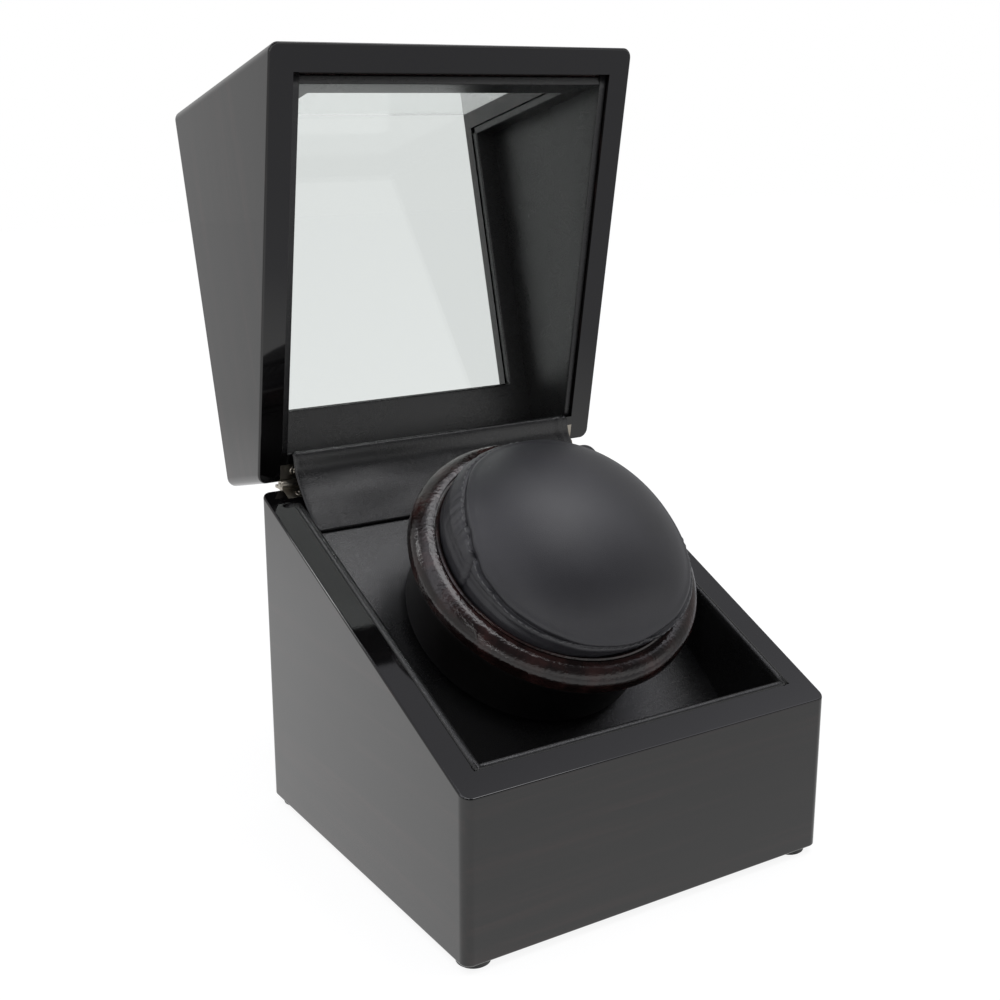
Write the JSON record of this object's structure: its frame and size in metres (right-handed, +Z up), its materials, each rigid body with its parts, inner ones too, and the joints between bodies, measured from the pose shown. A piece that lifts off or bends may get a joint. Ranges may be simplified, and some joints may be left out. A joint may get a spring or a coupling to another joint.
{
  "type": "watch winder",
  "caption": "Glossy dark box with a sloped, hinged, glazed lid, shown open, over a tilted turning drum that holds a round padded cushion.",
  "frame": {"origin": "on the table plane, under the middle of the case", "axes": "+X to the right, +Y from the low front to the hinged back, +Z up"},
  "size_m": [0.17, 0.2425, 0.3215],
  "materials": {
    "lacquer": "dark ebony veneer under high gloss lacquer",
    "floor_board": "satin painted board",
    "rubber": "satin",
    "leatherette": "fine grained leatherette, satin",
    "cushion_cover": "smooth leatherette, satin",
    "foam": "open foam",
    "card": "pressed board",
    "felt": "short pile",
    "bush_brass": "turned",
    "black_plastic": "moulded, fine grain",
    "gear_plastic": "moulded",
    "steel": "ground",
    "circuit_board": "solder mask",
    "hinge_metal": "nickel plated",
    "glass": "clear pane",
    "gloss_ring": "dark brown high gloss"
  },
  "bodies": {
    "base": {"base_back_board": "lacquer", "base_floor": "floor_board", "base_front_board": "lacquer", "base_front_lining": "leatherette", "base_left_board": "lacquer", "base_left_lining": "leatherette", "base_right_board": "lacquer", "base_right_lining": "leatherette", "board_posts": "gear_plastic", "control_board": "circuit_board", "drum_board": "leatherette", "drum_bush": "bush_brass", "foot_back_left": "rubber", "foot_back_right": "rubber", "foot_front_left": "rubber", "foot_front_right": "rubber", "gearbox_pan": "black_plastic", "hinge_base_leaf_left": "hinge_metal", "hinge_base_leaf_right": "hinge_metal", "hinge_flap": "leatherette", "hinge_pin_left": "hinge_metal", "hinge_pin_right": "hinge_metal", "idler_pin": "steel", "motor_can": "steel", "power_socket": "black_plastic", "selector_body": "black_plastic"},
    "lid": {"hinge_lid_leaf_left": "hinge_metal", "hinge_lid_leaf_right": "hinge_metal", "lid_back_board": "lacquer", "lid_back_lining": "leatherette", "lid_front_board": "lacquer", "lid_front_lining": "leatherette", "lid_front_pane": "glass", "lid_left_board": "lacquer", "lid_left_lining": "leatherette", "lid_right_board": "lacquer", "lid_right_lining": "leatherette", "lid_top_board": "lacquer", "lid_top_lining": "leatherette", "lid_top_pane": "glass"},
    "drum": {"cup_liner": "felt", "cup_pad": "foam", "drum_cup": "black_plastic", "drum_gear": "gear_plastic", "drum_ring": "gloss_ring", "drum_shaft": "steel"},
    "cushion": {"cushion_band": "cushion_cover", "cushion_core": "foam", "cushion_disc": "card", "cushion_face": "cushion_cover"},
    "idler": {"idler_gear": "gear_plastic"},
    "motor": {"motor_pinion": "gear_plastic", "motor_rotor": "steel"},
    "knob": {"knob_spindle": "steel", "mode_knob": "black_plastic"}
  },
  "joints": [
    {"name": "lid_hinge", "type": "hinge", "parent": "base", "child": "lid", "pos_m": [0, 0.08421, 0.14208], "axis": [1, 0, 0], "range_deg": [0, 104.5], "deforming": ["hinge_flap"]},
    {"name": "drum_turn", "type": "hinge", "parent": "base", "child": "drum", "pos_m": [0, -0.0153, 0.1248], "axis": [0, -0.5948, 0.8039], "continuous": true},
    {"name": "cushion_slide", "type": "slide", "parent": "drum", "child": "cushion", "axis": [0, -0.5948, 0.8039], "range_m": [0, 0.0075]},
    {"name": "idler_turn", "type": "hinge", "parent": "base", "child": "idler", "pos_m": [0.0288, 0.02039, 0.07657], "axis": [0, -0.5948, 0.8039], "continuous": true},
    {"name": "motor_turn", "type": "hinge", "parent": "base", "child": "motor", "pos_m": [0.0288, 0.00705, 0.05425], "axis": [0, -0.5948, 0.8039], "continuous": true},
    {"name": "knob_turn", "type": "hinge", "parent": "base", "child": "knob", "pos_m": [0.04, 0.0825, 0.034], "axis": [0, 1, 0], "range_deg": [0, 135]}
  ],
  "couplings": [
    {"joint": "idler_turn", "follows": "drum_turn", "ratio": -5},
    {"joint": "motor_turn", "follows": "drum_turn", "ratio": 20}
  ]
}
